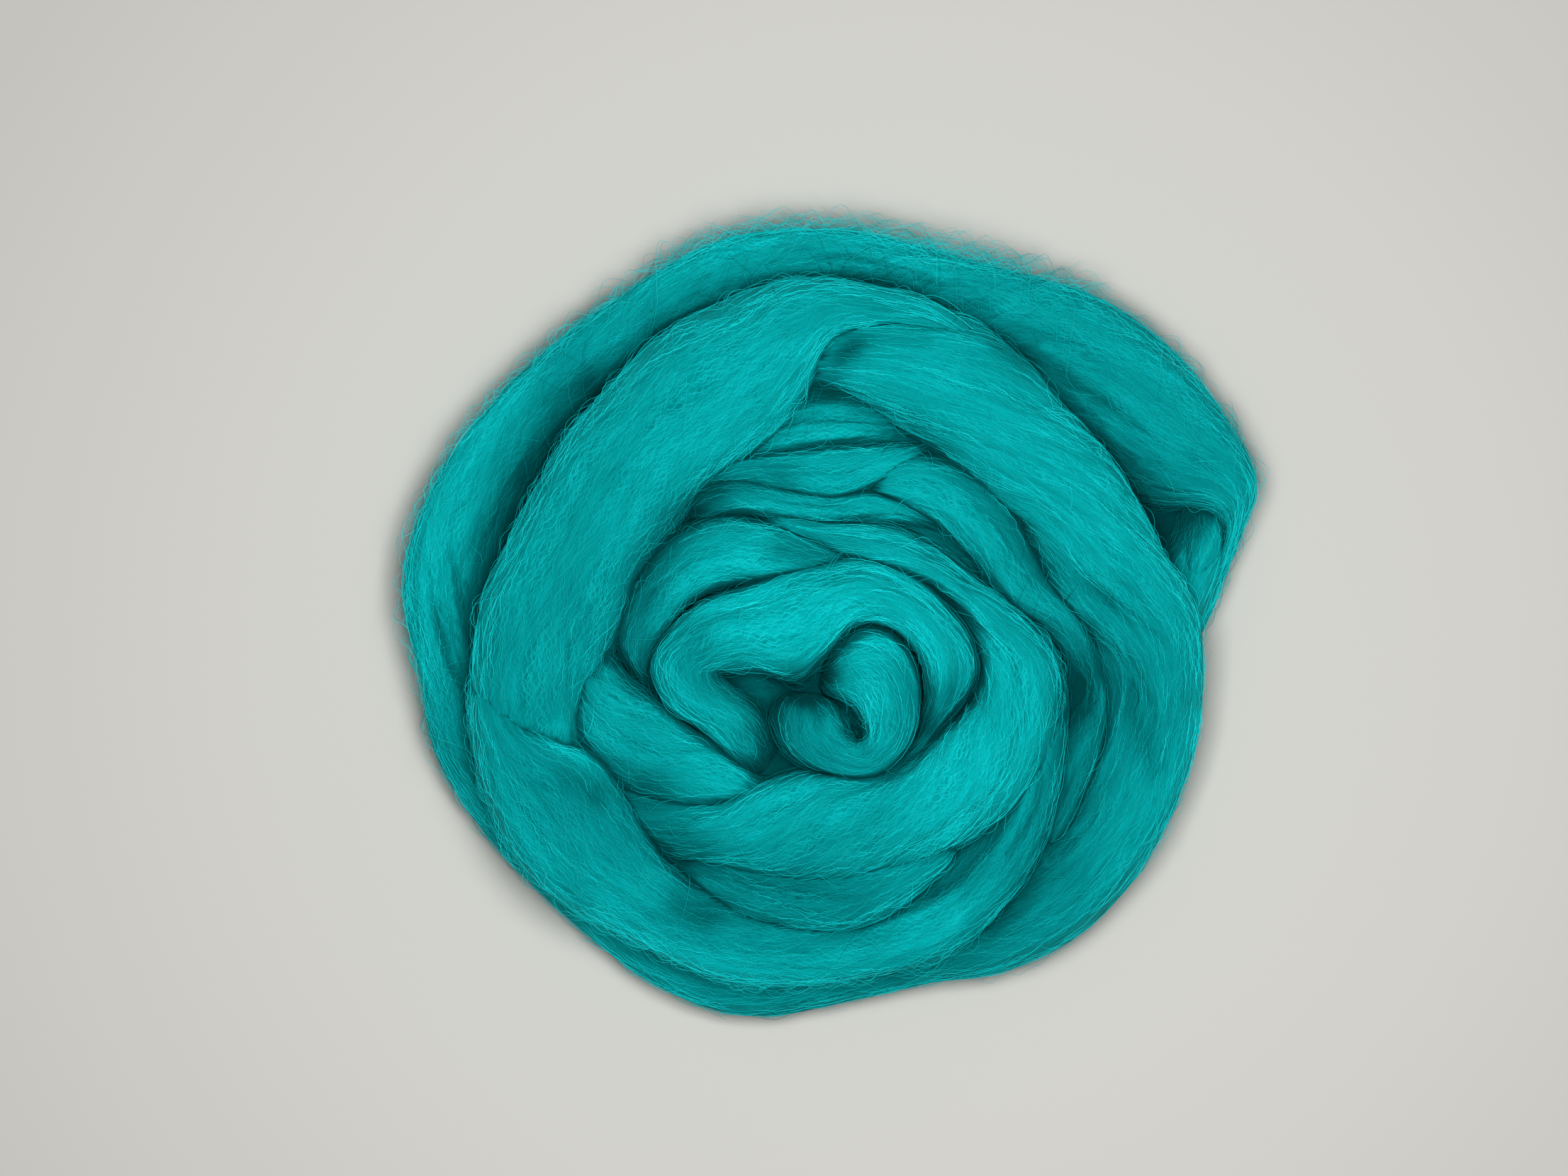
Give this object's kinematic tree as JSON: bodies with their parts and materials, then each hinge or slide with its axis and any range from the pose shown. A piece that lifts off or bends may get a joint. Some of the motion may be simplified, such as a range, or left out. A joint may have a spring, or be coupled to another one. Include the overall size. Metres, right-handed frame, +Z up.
{
  "type": "wool roving nest",
  "caption": "A length of dyed combed wool roving wound by hand into a loose, flat nest with twisted and folded turns, ready to felt, spin or knit.",
  "frame": {"origin": "centre of the nest's box, on the surface that it lies on", "axes": "+Z up out of the nest; +X towards the side where the roving is folded back, along the nest's longest size; +Y towards the twist at the top of the nest seen from above"},
  "size_m": [0.2155, 0.2, 0.0498],
  "materials": {
    "wool": "soft matt combed wool with a faint sheen, dyed teal"
  },
  "bodies": {
    "root": {"wound_roving": "wool"}
  },
  "joints": []
}
